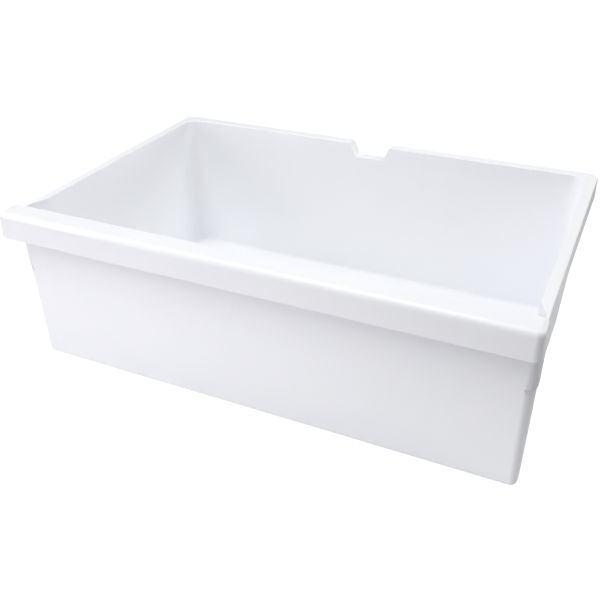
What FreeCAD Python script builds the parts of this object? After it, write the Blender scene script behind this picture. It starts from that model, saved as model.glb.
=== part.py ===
# Crisper drawer: a wide, open tub moulded in one piece. Millimetres, +Z up.
# The origin lies under the middle of the drawer, on the plane the underside rests on.
# The lip that serves as handle faces -Y, the notched wall faces +Y.

import FreeCAD, Part
import math
import os

# Overall sizes: the opening inside the rim, the depth from lip to rear, the height of the rim
opening_width = 453.0
overall_depth = 318.0
rim_height = 155.5

# Moulded wall
wall = 2.4
floor_thickness = 2.6

# What the walls of the tub lean in by, from the rim down to the underside
tub_lean = 7.0
front_lean = 2.6

# Rim flange with its hanging apron
side_flange = 9.5
rear_flange = 12.9
apron_drop = 18.5
apron_splay = 0.5

# Front lip, and the ears by which the apron swells out to it
lip_rise = 5.5
lip_depth = 23.0
lip_lean = 1.0
ear_swell = 3.0
ear_straight = 34.5
ear_taper = 77.0

# Flared front corners of the tub: a bay that is widest under the apron
bay_swell = 1.0
front_bay = 16.5
flare_angle = 24.0

# Shoulder on the outside of both front corners
shoulder_height = 98.0
shoulder_step = 0.9

# Notch in the rear rim
notch_width = 45.0
notch_floor_width = 31.0
notch_depth = 15.0

# Corner and edge roundings
rear_corner = 18.0
front_corner = 9.2
flare_round = 8.0
rim_corner = 11.0
lip_corner = 7.0
floor_round = 3.2
underside_round = 3.2
lip_edge_round = 5.0
rim_edge_round = 1.2
notch_round = 1.8

# Overlap that carries one form into the next, so that no two faces only touch
overlap = 1.0

# How far off level an edge may be and still count as level
level_tolerance = 0.01

# Sizes and places that follow from the ones above
rim_width = opening_width + side_flange * 2
bay_width = rim_width + bay_swell * 2
lip_width = rim_width + ear_swell * 2
lip_top = rim_height + lip_rise
apron_foot = rim_height - apron_drop
lip_front = -overall_depth / 2
lip_back = lip_front + lip_depth
rim_rear = overall_depth / 2
front_wall = lip_back - wall
rear_wall = rim_rear - apron_splay - rear_flange + wall
bay_rear = front_wall + front_bay
flare_slope = math.tan(math.radians(flare_angle))
flare_shift = math.tan(math.radians(flare_angle / 2))


def rounded_outline(corners, z):
    """Closed wire at height z through corners given as (x, y, radius); radius 0 is a plain joint."""
    count = len(corners)
    joints = []
    for i in range(count):
        x, y, radius = corners[i]
        here = FreeCAD.Vector(x, y, z)
        if radius == 0:
            joints.append((here, here, here))
            continue
        before = FreeCAD.Vector(corners[i - 1][0], corners[i - 1][1], z)
        after = FreeCAD.Vector(corners[(i + 1) % count][0], corners[(i + 1) % count][1], z)
        back = (before - here).normalize()
        ahead = (after - here).normalize()
        half = back.getAngle(ahead) / 2
        reach = radius / math.tan(half)
        bisector = (back + ahead).normalize()
        centre = here + bisector * (radius / math.sin(half))
        joints.append((here + back * reach, centre - bisector * radius, here + ahead * reach))
    edges = []
    for i in range(count):
        start, middle, end = joints[i]
        if corners[i][2] > 0:
            edges.append(Part.Arc(start, middle, end).toShape())
        edges.append(Part.LineSegment(end, joints[(i + 1) % count][0]).toShape())
    return Part.Wire(edges)


def mirrored(right_half):
    """Whole outline from the corners of its right half, listed from rear to front."""
    return right_half + [(-x, y, radius) for x, y, radius in reversed(right_half)]


def tub_outline(z, inset, step):
    """Tub outline at height z, set in by a wall thickness, its front bay widened by a step."""
    fall = 1 - z / rim_height
    tub_in = tub_lean * fall + inset
    front_in = front_lean * fall + inset
    side = opening_width / 2 + wall - tub_in
    if z > apron_foot:
        narrowing = bay_swell * min(1, (z - apron_foot) / apron_drop)
    else:
        narrowing = front_lean * (apron_foot - z) / rim_height
    bay_side = bay_width / 2 - narrowing + step - inset
    bay = bay_rear - inset * flare_shift
    flare_start = bay + (bay_side - side) / flare_slope
    return rounded_outline(mirrored([
        (side, rear_wall - tub_in, rear_corner - tub_in),
        (side, flare_start, flare_round + inset),
        (bay_side, bay, flare_round - inset),
        (bay_side, front_wall + front_in, front_corner - front_in),
    ]), z)


def apron_outline(z, inset):
    """Rim apron outline at height z; it splays to the foot and swells into ears beside the lip."""
    fall = (rim_height - z) / apron_drop
    splay = apron_splay * fall - inset
    side = rim_width / 2 + splay
    ear = rim_width / 2 + ear_swell * fall - inset
    ear_rear = lip_back + ear_straight
    return rounded_outline(mirrored([
        (side, rim_rear - apron_splay + splay, rim_corner + splay),
        (side, ear_rear + ear_taper, 0),
        (ear, ear_rear, 0),
        (ear, lip_back - overlap - rim_edge_round + inset, 0),
    ]), z)


def lip_outline(z, inset, back):
    """Lip outline at height z, its ends and front leaning in towards the crown."""
    lean = lip_lean * (z - apron_foot) / (lip_top - apron_foot) + inset
    end = lip_width / 2 - lean
    return rounded_outline(mirrored([
        (end, back, 0),
        (end, lip_front + lean, lip_corner - lean),
    ]), z)


def loft(*outlines):
    """Solid that runs straight from outline to outline, each flat side of it a true plane."""
    faces = []
    for face in Part.makeLoft(list(outlines), True, True).Faces:
        if face.findPlane() and len(face.Vertexes) == 4:
            corners = [vertex.Point for vertex in face.OuterWire.OrderedVertexes]
            face = Part.Face(Part.makePolygon(corners + corners[:1]))
        faces.append(face)
    shell = Part.Shell(faces)
    shell.sewShape()
    return Part.Solid(shell)


def level_edges(shape, z):
    """Edges of a form that lie wholly at height z."""
    found = []
    for edge in shape.Edges:
        box = edge.BoundBox
        if abs(box.ZMin - z) < level_tolerance and abs(box.ZMax - z) < level_tolerance:
            found.append(edge)
    return found


def notch_block(lower):
    """Trapezium of the notch run along Y, its sides and floor moved out by the given amount."""
    half_top = notch_width / 2
    half_floor = notch_floor_width / 2
    slope = (half_top - half_floor) / notch_depth
    spread = lower * (math.sqrt(1 + slope * slope) - slope)
    above = overlap * 4
    floor_z = rim_height - notch_depth - lower
    wide = half_floor + spread + slope * (rim_height + above - floor_z)
    start = rear_wall - wall - overlap * 2
    points = [
        FreeCAD.Vector(-wide, start, rim_height + above),
        FreeCAD.Vector(-half_floor - spread, start, floor_z),
        FreeCAD.Vector(half_floor + spread, start, floor_z),
        FreeCAD.Vector(wide, start, rim_height + above),
    ]
    profile = Part.Face(Part.makePolygon(points + points[:1]))
    block = profile.extrude(FreeCAD.Vector(0, rear_flange + overlap * 4, 0))
    corners = [edge for edge in level_edges(block, floor_z) if edge.BoundBox.XLength < overlap]
    return block.makeFillet(notch_round + lower, corners)


# Tub body, still solid: drafted walls that flare into a wider bay at the front
body = loft(tub_outline(0, 0, 0), tub_outline(apron_foot, 0, 0), tub_outline(rim_height, 0, 0))
body = body.makeFillet(underside_round, level_edges(body, 0))
shoulder_top = apron_foot + wall
shoulder = loft(tub_outline(shoulder_height, 0, shoulder_step), tub_outline(shoulder_top, 0, shoulder_step))

# Hollow of the tub, carried up past the lip
hollow = loft(
    tub_outline(floor_thickness, wall, 0),
    tub_outline(apron_foot, wall, 0),
    tub_outline(rim_height, wall, 0),
    tub_outline(lip_top + overlap, wall, 0),
)
hollow = hollow.makeFillet(floor_round, level_edges(hollow, floor_thickness))

# Rim: flange and apron round the sides and the rear, the top edge turned over in two steps
rim_turns = [math.radians(degrees) for degrees in (0, 45, 90)]
rim_edge = [
    apron_outline(rim_height - rim_edge_round * (1 - math.sin(turn)), rim_edge_round * (1 - math.cos(turn)))
    for turn in rim_turns
]
rim = loft(apron_outline(apron_foot, 0), *rim_edge)
rim_under = loft(apron_outline(apron_foot - overlap, wall), apron_outline(rim_height - wall, wall))
bay_block = Part.makeBox(lip_width, front_bay, lip_top)
bay_block.translate(FreeCAD.Vector(-lip_width / 2, bay_rear - front_bay + wall, 0))
rim_under = rim_under.cut(bay_block)

# Lip: a raised crown with a rounded front, hollow underneath for the fingers
lip = loft(lip_outline(apron_foot, 0, lip_back), lip_outline(lip_top, 0, lip_back))
crown_edges = [edge for edge in level_edges(lip, lip_top) if edge.BoundBox.YMin < lip_back - overlap]
lip = lip.makeFillet(lip_edge_round, crown_edges)
lip_under = loft(
    lip_outline(apron_foot - overlap, wall, front_wall),
    lip_outline(lip_top - wall, wall, front_wall),
)

# Notch: the rear wall is cut down and its flange dips through the cut
notch_cut = notch_block(0)
notch_bed = notch_block(wall)

drawer = rim.cut(rim_under).fuse(lip.cut(lip_under))
drawer = drawer.fuse(notch_bed.common(rim))
drawer = drawer.fuse(body).fuse(shoulder)
drawer = drawer.cut(hollow).cut(notch_cut)
drawer = drawer.removeSplitter()

if drawer.ShapeType != "Solid":
    solids = drawer.Solids
    if len(solids) != 1:
        raise ValueError("the drawer must be one solid, found %d" % len(solids))
    drawer = solids[0]

os.makedirs("parts", exist_ok=True)
drawer.exportStep("parts/crisper_drawer.step")
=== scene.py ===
import math

import bmesh
import bpy
from bpy.props import FloatProperty, FloatVectorProperty, IntProperty, PointerProperty
from mathutils import Matrix, Vector


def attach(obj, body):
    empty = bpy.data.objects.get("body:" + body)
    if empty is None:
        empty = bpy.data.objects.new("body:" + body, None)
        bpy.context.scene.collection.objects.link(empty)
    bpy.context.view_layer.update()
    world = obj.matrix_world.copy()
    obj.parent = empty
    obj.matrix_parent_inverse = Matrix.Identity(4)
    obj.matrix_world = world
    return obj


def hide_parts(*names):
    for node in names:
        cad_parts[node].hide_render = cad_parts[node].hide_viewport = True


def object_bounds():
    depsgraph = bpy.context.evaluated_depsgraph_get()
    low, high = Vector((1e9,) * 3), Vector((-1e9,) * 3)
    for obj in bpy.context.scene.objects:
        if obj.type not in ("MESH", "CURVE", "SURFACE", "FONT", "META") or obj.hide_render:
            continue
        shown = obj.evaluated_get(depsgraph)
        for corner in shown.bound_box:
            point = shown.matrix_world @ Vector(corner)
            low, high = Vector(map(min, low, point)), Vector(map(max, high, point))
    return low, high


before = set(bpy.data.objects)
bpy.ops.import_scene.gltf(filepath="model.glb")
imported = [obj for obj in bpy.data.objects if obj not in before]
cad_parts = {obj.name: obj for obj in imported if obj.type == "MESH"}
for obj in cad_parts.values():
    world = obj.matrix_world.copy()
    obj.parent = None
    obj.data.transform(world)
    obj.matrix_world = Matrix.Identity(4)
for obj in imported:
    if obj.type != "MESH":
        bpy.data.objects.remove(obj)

bl_info = {
    "name": "Crisper drawer",
    "version": (1, 0, 0),
    "blender": (4, 5, 0),
    "location": "View3D > Sidebar > Crisper",
    "description": "Dresses the crisper drawer in white moulded plastic and sets a studio round it",
    "category": "Object",
}

CAD_NODE = "crisper_drawer"

# How far off a height a point may lie and still count as on it
LEVEL = 0.00002

# How strongly the flat faces pull the shading of the rounds beside them
FLAT_FACE_WEIGHT = 80

# Plastic: its refraction, the detail and edges of its clouds, the detail and strength of its grain
PLASTIC_IOR = 1.49
CLOUD_DETAIL = 3.0
CLOUD_EDGES = (0.35, 0.65)
GRAIN_DETAIL = 2.0
GRAIN_STRENGTH = 0.5

# Floor: half its width, its gap under the drawer, its finish, and how far out it fades and glows
FLOOR_REACH = 8.0
FLOOR_GAP = 0.0002
FLOOR_ROUGHNESS = 0.9
FLOOR_SPECULAR = 0.1
FADE_START = 0.05
FADE_END = 0.45
GLOW_END = 0.5

# Lights: their two tints, and the middle of the drawer, which most of them face
WHITE_LIGHT = (1.0, 1.0, 1.0)
COOL_LIGHT = (0.97, 0.955, 1.0)
DRAWER_MIDDLE = (0, 0, 0.08)

# Camera: width of its sensor in millimetres, and how near a thing may be and still show
SENSOR_WIDTH = 36
CLIP_START = 0.01

# Grid that the nodes of a material stand on
NODE_WIDTH = 200
NODE_HEIGHT = 250

cad_low, cad_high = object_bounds()


class DrawerShell(bpy.types.PropertyGroup):
    """Sizes of the moulded shell's softened edges."""

    merge_distance: FloatProperty(
        name="Merge distance",
        description="Points of the packed mesh closer than this become one",
        default=0.00001,
        subtype="DISTANCE",
        unit="LENGTH",
    )
    flat_angle: FloatProperty(
        name="Flat angle",
        description="Triangles that meet at less than this are one flat face",
        default=math.radians(0.3),
        subtype="ANGLE",
    )
    edge_angle: FloatProperty(
        name="Edge angle",
        description="Edges that turn by more than this are rounded",
        default=math.radians(34),
        subtype="ANGLE",
    )
    square_angle: FloatProperty(
        name="Square angle",
        description="Edges of foot and mouth that turn by more than this get their own round",
        default=math.radians(60),
        subtype="ANGLE",
    )
    crisp_angle: FloatProperty(
        name="Crisp angle",
        description="Edges that still turn by more than this are shaded crisp",
        default=math.radians(50),
        subtype="ANGLE",
    )
    lip_height: FloatProperty(
        name="Lip height",
        description="From the crown of the lip down to its foot",
        default=0.024,
        subtype="DISTANCE",
        unit="LENGTH",
    )
    foot_depth: FloatProperty(
        name="Foot depth",
        description="From the front of the lip back to where the rounding of its foot ends",
        default=0.0225,
        subtype="DISTANCE",
        unit="LENGTH",
    )
    mouth_drop: FloatProperty(
        name="Mouth drop",
        description="From the crown of the lip down to the rim round the mouth of the tub",
        default=0.0055,
        subtype="DISTANCE",
        unit="LENGTH",
    )
    ledge_drop: FloatProperty(
        name="Ledge drop",
        description="From the crown of the lip down to the thin ledges, whose edges stay crisp",
        default=0.063,
        subtype="DISTANCE",
        unit="LENGTH",
    )
    foot_round: FloatProperty(
        name="Foot round",
        description="Rounding of the lower edge of the lip",
        default=0.001,
        subtype="DISTANCE",
        unit="LENGTH",
    )
    mouth_round: FloatProperty(
        name="Mouth round",
        description="Rounding of the edge round the mouth",
        default=0.0007,
        subtype="DISTANCE",
        unit="LENGTH",
    )
    edge_round: FloatProperty(
        name="Edge round",
        description="Rounding of every other moulded edge",
        default=0.0003,
        subtype="DISTANCE",
        unit="LENGTH",
    )
    round_room: FloatProperty(
        name="Room for a round",
        description="Depth of face that a rounding needs beside its edge, in widths of itself",
        default=1.3,
    )
    round_steps: IntProperty(
        name="Steps of a round",
        description="Faces across each rounded edge",
        default=3,
        min=1,
    )


class DrawerPlastic(bpy.types.PropertyGroup):
    """Colours, gloss and grain of the white plastic."""

    colour: FloatVectorProperty(
        name="Colour",
        description="White of the plastic",
        default=(0.944, 0.953, 0.973),
        subtype="COLOR",
        size=3,
        min=0,
        max=1,
    )
    cloud_colour: FloatVectorProperty(
        name="Cloud colour",
        description="White of the faint clouds that the melt leaves",
        default=(0.931, 0.941, 0.965),
        subtype="COLOR",
        size=3,
        min=0,
        max=1,
    )
    cloud_size: FloatProperty(
        name="Cloud size",
        description="Width of one cloud",
        default=0.07,
        subtype="DISTANCE",
        unit="LENGTH",
    )
    grain_size: FloatProperty(
        name="Grain size",
        description="Width of one grain of the eroded mould surface",
        default=0.0007,
        subtype="DISTANCE",
        unit="LENGTH",
    )
    grain_depth: FloatProperty(
        name="Grain depth",
        description="Depth of the grain",
        default=0.00001,
        subtype="DISTANCE",
        unit="LENGTH",
        precision=6,
    )
    gloss_low: FloatProperty(
        name="Lowest roughness",
        description="Roughness of the glossiest spots",
        default=0.30,
    )
    gloss_high: FloatProperty(
        name="Highest roughness",
        description="Roughness of the dullest spots",
        default=0.40,
    )


class DrawerStage(bpy.types.PropertyGroup):
    """Camera and floor."""

    target: FloatVectorProperty(
        name="Target",
        description="Point that the camera looks at",
        default=(-0.0152, 0.0092, 0.0347),
        subtype="TRANSLATION",
        unit="LENGTH",
        size=3,
    )
    azimuth: FloatProperty(
        name="Azimuth",
        description="How far the camera stands to the right of the front",
        default=math.radians(25.12),
        subtype="ANGLE",
    )
    elevation: FloatProperty(
        name="Elevation",
        description="How far the camera stands above the floor",
        default=math.radians(31.24),
        subtype="ANGLE",
    )
    roll: FloatProperty(
        name="Roll",
        description="Tilt of the camera about its own line of sight",
        default=math.radians(0.66),
        subtype="ANGLE",
    )
    distance: FloatProperty(
        name="Distance",
        description="From the camera to its target",
        default=0.7907,
        subtype="DISTANCE",
        unit="LENGTH",
    )
    lens: FloatProperty(
        name="Lens",
        description="Focal length of the camera",
        default=45.907,
        subtype="DISTANCE_CAMERA",
        unit="CAMERA",
    )
    shift: FloatVectorProperty(
        name="Shift",
        description="Shift of the picture, in widths of it",
        default=(-0.0084, -0.0035),
        size=2,
    )
    floor_near: FloatVectorProperty(
        name="Floor near",
        description="Colour of the floor beside the drawer",
        default=(0.82, 0.82, 0.82),
        subtype="COLOR",
        size=3,
        min=0,
        max=1,
    )
    floor_far: FloatVectorProperty(
        name="Floor far",
        description="Colour that the floor fades to, so that little light comes back from there",
        default=(0.12, 0.12, 0.12),
        subtype="COLOR",
        size=3,
        min=0,
        max=1,
    )
    glow_near: FloatProperty(
        name="Near glow",
        description="Glow of the floor beside the drawer, as it is seen",
        default=0.7,
    )
    glow_far: FloatProperty(
        name="Far glow",
        description="Glow of the floor away from the drawer, as it is seen",
        default=1.0,
    )


def add_node(tree, kind, column, row, **inputs):
    """New node at a place on the node grid, with its named inputs set."""
    node = tree.nodes.new(kind)
    node.location = (column * NODE_WIDTH, row * NODE_HEIGHT)
    for name, value in inputs.items():
        node.inputs[name.replace("_", " ")].default_value = value
    return node


def vector_step(tree, operation, column, source):
    """New node that does one step of vector maths on the output of another node."""
    node = add_node(tree, "ShaderNodeVectorMath", column, 0)
    node.operation = operation
    tree.links.new(source, node.inputs[0])
    return node


def white_plastic(plastic):
    """Satin white plastic: faint clouds from the melt, and the fine grain of an eroded mould."""
    material = bpy.data.materials.new("white_moulded_plastic")
    material.use_nodes = True
    tree = material.node_tree
    link = tree.links.new
    shader = tree.nodes["Principled BSDF"]
    shader.inputs["IOR"].default_value = PLASTIC_IOR
    place = add_node(tree, "ShaderNodeTexCoord", -5, 0)

    clouds = add_node(
        tree, "ShaderNodeTexNoise", -4, 1, Scale=1 / plastic.cloud_size, Detail=CLOUD_DETAIL
    )
    link(place.outputs["Object"], clouds.inputs["Vector"])
    tint = add_node(tree, "ShaderNodeValToRGB", -3, 1)
    cloud, clear = tint.color_ramp.elements
    cloud.position, clear.position = CLOUD_EDGES
    cloud.color = (*plastic.cloud_colour, 1)
    clear.color = (*plastic.colour, 1)
    link(clouds.outputs["Fac"], tint.inputs["Fac"])
    link(tint.outputs["Color"], shader.inputs["Base Color"])
    gloss = add_node(
        tree, "ShaderNodeMapRange", -3, 0, To_Min=plastic.gloss_low, To_Max=plastic.gloss_high
    )
    link(clouds.outputs["Fac"], gloss.inputs["Value"])
    link(gloss.outputs["Result"], shader.inputs["Roughness"])

    grain = add_node(
        tree, "ShaderNodeTexNoise", -4, -1, Scale=1 / plastic.grain_size, Detail=GRAIN_DETAIL
    )
    link(place.outputs["Object"], grain.inputs["Vector"])
    bump = add_node(
        tree, "ShaderNodeBump", -2, -1, Strength=GRAIN_STRENGTH, Distance=plastic.grain_depth
    )
    link(grain.outputs["Fac"], bump.inputs["Height"])
    link(bump.outputs["Normal"], shader.inputs["Normal"])
    return material


def on_level(edge, height):
    """Whether an edge lies wholly at a height."""
    return all(abs(point.co.z - height) < LEVEL for point in edge.verts)


def square_edges(shell, height, angle, rear):
    """Outward edges at a height and before a rear limit that turn by more than an angle."""
    return [
        edge for edge in shell.edges
        if on_level(edge, height) and all(point.co.y < rear for point in edge.verts)
        and edge.is_convex and edge.calc_face_angle() > angle
    ]


def has_depth(edge, depth):
    """Whether both faces of an edge reach further from it than a depth."""
    start = edge.verts[0].co
    along = (edge.verts[1].co - start).normalized()
    return all(
        max((point.co - start).cross(along).length for point in face.verts) > depth
        for face in edge.link_faces
    )


def soften(shell, edges, width, sizes):
    """Rounds those of the given edges that have room for it."""
    bmesh.ops.bevel(
        shell,
        geom=[edge for edge in edges if has_depth(edge, width * sizes.round_room)],
        offset=width,
        offset_type="OFFSET",
        affect="EDGES",
        segments=sizes.round_steps,
        profile=0.5,
        material=-1,
        clamp_overlap=False,
    )


class CRISPER_OT_shell(bpy.types.Operator):
    """Makes the drawer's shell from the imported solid, with every moulded edge softened"""

    bl_idname = "crisper.shell"
    bl_label = "Moulded shell"

    def execute(self, context):
        sizes = context.scene.crisper_shell
        mesh = self.make_mesh(sizes)
        mesh.shade_smooth()
        mesh.set_sharp_from_angle(angle=sizes.crisp_angle)
        mesh.materials.clear()
        mesh.materials.append(white_plastic(context.scene.crisper_plastic))
        drawer = bpy.data.objects.new("drawer_shell", mesh)
        context.scene.collection.objects.link(drawer)
        even = drawer.modifiers.new("even_shading", "WEIGHTED_NORMAL")
        even.mode = "FACE_AREA"
        even.weight = FLAT_FACE_WEIGHT
        even.keep_sharp = True
        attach(drawer, "root")
        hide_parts(CAD_NODE)
        return {"FINISHED"}

    def make_mesh(self, sizes):
        """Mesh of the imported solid, its flat faces whole and its edges rounded."""
        shell = bmesh.new()
        shell.from_mesh(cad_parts[CAD_NODE].data)
        bmesh.ops.remove_doubles(shell, verts=shell.verts, dist=sizes.merge_distance)
        bmesh.ops.dissolve_limit(
            shell,
            angle_limit=sizes.flat_angle,
            verts=shell.verts,
            edges=shell.edges,
            delimit={"NORMAL"},
        )
        foot_height = cad_high.z - sizes.lip_height
        foot_rear = cad_low.y + sizes.foot_depth
        foot = square_edges(shell, foot_height, sizes.square_angle, foot_rear)
        soften(shell, foot, sizes.foot_round, sizes)
        mouth_height = cad_high.z - sizes.mouth_drop
        mouth = square_edges(shell, mouth_height, sizes.square_angle, cad_high.y)
        soften(shell, mouth, sizes.mouth_round, sizes)
        ledge_height = cad_high.z - sizes.ledge_drop
        rest = [
            edge for edge in shell.edges
            if edge.calc_face_angle() > sizes.edge_angle and not on_level(edge, ledge_height)
        ]
        soften(shell, rest, sizes.edge_round, sizes)
        bmesh.ops.dissolve_degenerate(shell, dist=sizes.merge_distance, edges=shell.edges)
        mesh = bpy.data.meshes.new("drawer_shell")
        shell.to_mesh(mesh)
        shell.free()
        return mesh


def softbox(name, place, size, power, tint=WHITE_LIGHT, target=DRAWER_MIDDLE, mirrored=True):
    """Rectangular light at a place, out of the picture; only a mirrored one shows in the gloss."""
    light = bpy.data.lights.new(name, "AREA")
    light.shape = "RECTANGLE"
    light.size, light.size_y = size
    light.energy = power
    light.color = tint
    lamp = bpy.data.objects.new(name, light)
    lamp.location = place
    lamp.rotation_euler = (Vector(target) - Vector(place)).to_track_quat("-Z", "Y").to_euler()
    lamp.visible_camera = False
    lamp.visible_glossy = mirrored
    bpy.context.scene.collection.objects.link(lamp)


class CRISPER_OT_stage(bpy.types.Operator):
    """Sets the pale floor, the soft lights and the camera"""

    bl_idname = "crisper.stage"
    bl_label = "Studio"

    def execute(self, context):
        scene = context.scene
        stage = scene.crisper_stage
        self.make_floor(scene, stage)
        self.make_world(scene)
        self.make_lights()
        self.make_camera(scene, stage)
        scene.view_settings.view_transform = "Standard"
        return {"FINISHED"}

    def make_floor(self, scene, stage):
        sheet = bmesh.new()
        bmesh.ops.create_grid(sheet, x_segments=1, y_segments=1, size=FLOOR_REACH)
        mesh = bpy.data.meshes.new("floor")
        sheet.to_mesh(mesh)
        sheet.free()
        floor = bpy.data.objects.new("floor", mesh)
        floor.location.z = cad_low.z - FLOOR_GAP
        mesh.materials.append(self.floor_material(stage))
        scene.collection.objects.link(floor)

    def floor_material(self, stage):
        """Pale floor that returns light close to the drawer and is plain white in the picture."""
        material = bpy.data.materials.new("pale_floor")
        material.use_nodes = True
        tree = material.node_tree
        link = tree.links.new
        shader = tree.nodes["Principled BSDF"]
        shader.inputs["Roughness"].default_value = FLOOR_ROUGHNESS
        shader.inputs["Specular IOR Level"].default_value = FLOOR_SPECULAR
        shader.inputs["Emission Color"].default_value = (*WHITE_LIGHT, 1)

        # Distance of a point of the floor from the drawer's outline
        place = add_node(tree, "ShaderNodeTexCoord", -7, 0)
        folded = vector_step(tree, "ABSOLUTE", -6, place.outputs["Object"])
        past_edge = vector_step(tree, "SUBTRACT", -5, folded.outputs["Vector"])
        past_edge.inputs[1].default_value = cad_high
        outside = vector_step(tree, "MAXIMUM", -4, past_edge.outputs["Vector"])
        reach = vector_step(tree, "LENGTH", -3, outside.outputs["Vector"]).outputs["Value"]

        fade = add_node(tree, "ShaderNodeMapRange", -2, 1, From_Min=FADE_START, From_Max=FADE_END)
        fade.interpolation_type = "SMOOTHSTEP"
        link(reach, fade.inputs["Value"])
        tone = add_node(tree, "ShaderNodeValToRGB", -1, 1)
        near, far = tone.color_ramp.elements
        near.color = (*stage.floor_near, 1)
        far.color = (*stage.floor_far, 1)
        link(fade.outputs["Result"], tone.inputs["Fac"])
        link(tone.outputs["Color"], shader.inputs["Base Color"])

        glow = add_node(
            tree, "ShaderNodeMapRange", -2, -1,
            From_Max=GLOW_END, To_Min=stage.glow_near, To_Max=stage.glow_far,
        )
        glow.interpolation_type = "SMOOTHSTEP"
        link(reach, glow.inputs["Value"])
        path = add_node(tree, "ShaderNodeLightPath", -2, -2)
        seen = add_node(tree, "ShaderNodeMath", -1, -1)
        seen.operation = "MULTIPLY"
        link(glow.outputs["Result"], seen.inputs[0])
        link(path.outputs["Is Camera Ray"], seen.inputs[1])
        link(seen.outputs["Value"], shader.inputs["Emission Strength"])
        return material

    def make_world(self, scene):
        """White surroundings that are seen but give no light."""
        world = bpy.data.worlds.new("studio")
        world.use_nodes = True
        scene.world = world
        tree = world.node_tree
        link = tree.links.new
        dim = tree.nodes["Background"]
        dim.inputs["Strength"].default_value = 0.0
        white = add_node(tree, "ShaderNodeBackground", 0, -1, Color=(*WHITE_LIGHT, 1))
        path = add_node(tree, "ShaderNodeLightPath", -1, 1)
        choice = add_node(tree, "ShaderNodeMixShader", 1, 0)
        link(path.outputs["Is Camera Ray"], choice.inputs["Fac"])
        link(dim.outputs["Background"], choice.inputs[1])
        link(white.outputs["Background"], choice.inputs[2])
        link(choice.outputs["Shader"], tree.nodes["World Output"].inputs["Surface"])

    def make_lights(self):
        """Soft boxes above and all round, and the light that a white table returns in front."""
        softbox("overhead_softbox", place=(-0.2, 0.1, 0.9), size=(0.6, 0.6), power=2.95)
        softbox("high_left_softbox", place=(-1.2, 0.1, 0.9), size=(0.8, 0.8), power=2.8)
        softbox("high_right_softbox", place=(1.0, 0.3, 1.1), size=(0.8, 0.8), power=8.0)
        softbox(
            "front_softbox", place=(-0.12, -0.92, 1.42), size=(0.9, 0.9), power=10.5,
            mirrored=False,
        )
        softbox(
            "front_left_softbox", place=(-1.2, -1.1, 0.5), size=(0.8, 0.8), power=7.6,
            tint=COOL_LIGHT,
        )
        softbox(
            "low_front_softbox", place=(-0.3, -1.2, 0.09), size=(1.2, 0.16), power=2.9,
            tint=COOL_LIGHT,
        )
        softbox(
            "table_glow", place=(-0.35, -0.5, 0.012), size=(0.9, 0.6), power=0.3,
            tint=COOL_LIGHT, target=(-0.35, -0.5, 1),
        )
        softbox("right_rear_softbox", place=(1.4, 1.3, 0.3), size=(0.9, 0.4), power=5.6)
        softbox("rear_softbox", place=(0, 1.8, 0.25), size=(1.4, 0.4), power=5.2)

    def make_camera(self, scene, stage):
        data = bpy.data.cameras.new("camera")
        data.sensor_fit = "HORIZONTAL"
        data.sensor_width = SENSOR_WIDTH
        data.lens = stage.lens
        data.shift_x, data.shift_y = stage.shift
        data.clip_start = CLIP_START
        camera = bpy.data.objects.new("camera", data)
        back = Vector((
            math.sin(stage.azimuth) * math.cos(stage.elevation),
            -math.cos(stage.azimuth) * math.cos(stage.elevation),
            math.sin(stage.elevation),
        ))
        aim = (-back).to_track_quat("-Z", "Y").to_matrix().to_4x4()
        place = Matrix.Translation(Vector(stage.target) + back * stage.distance)
        camera.matrix_world = place @ aim @ Matrix.Rotation(-stage.roll, 4, "Z")
        scene.collection.objects.link(camera)
        scene.camera = camera


class CRISPER_PT_panel(bpy.types.Panel):
    """Lists the steps that dress the drawer, and their sizes and colours"""

    bl_label = "Crisper drawer"
    bl_idname = "CRISPER_PT_panel"
    bl_space_type = "VIEW_3D"
    bl_region_type = "UI"
    bl_category = "Crisper"

    def draw(self, context):
        scene = context.scene
        for operator in OPERATORS:
            self.layout.operator(operator.bl_idname)
        for group in (scene.crisper_shell, scene.crisper_plastic, scene.crisper_stage):
            box = self.layout.box()
            for name in group.__annotations__:
                box.prop(group, name)


OPERATORS = (CRISPER_OT_shell, CRISPER_OT_stage)
CLASSES = (DrawerShell, DrawerPlastic, DrawerStage, *OPERATORS, CRISPER_PT_panel)


def register():
    for item in CLASSES:
        bpy.utils.register_class(item)
    bpy.types.Scene.crisper_shell = PointerProperty(type=DrawerShell)
    bpy.types.Scene.crisper_plastic = PointerProperty(type=DrawerPlastic)
    bpy.types.Scene.crisper_stage = PointerProperty(type=DrawerStage)


def unregister():
    del bpy.types.Scene.crisper_stage
    del bpy.types.Scene.crisper_plastic
    del bpy.types.Scene.crisper_shell
    for item in reversed(CLASSES):
        bpy.utils.unregister_class(item)


def main():
    register()
    bpy.ops.crisper.shell()
    bpy.ops.crisper.stage()


if __name__ == "__main__":
    main()
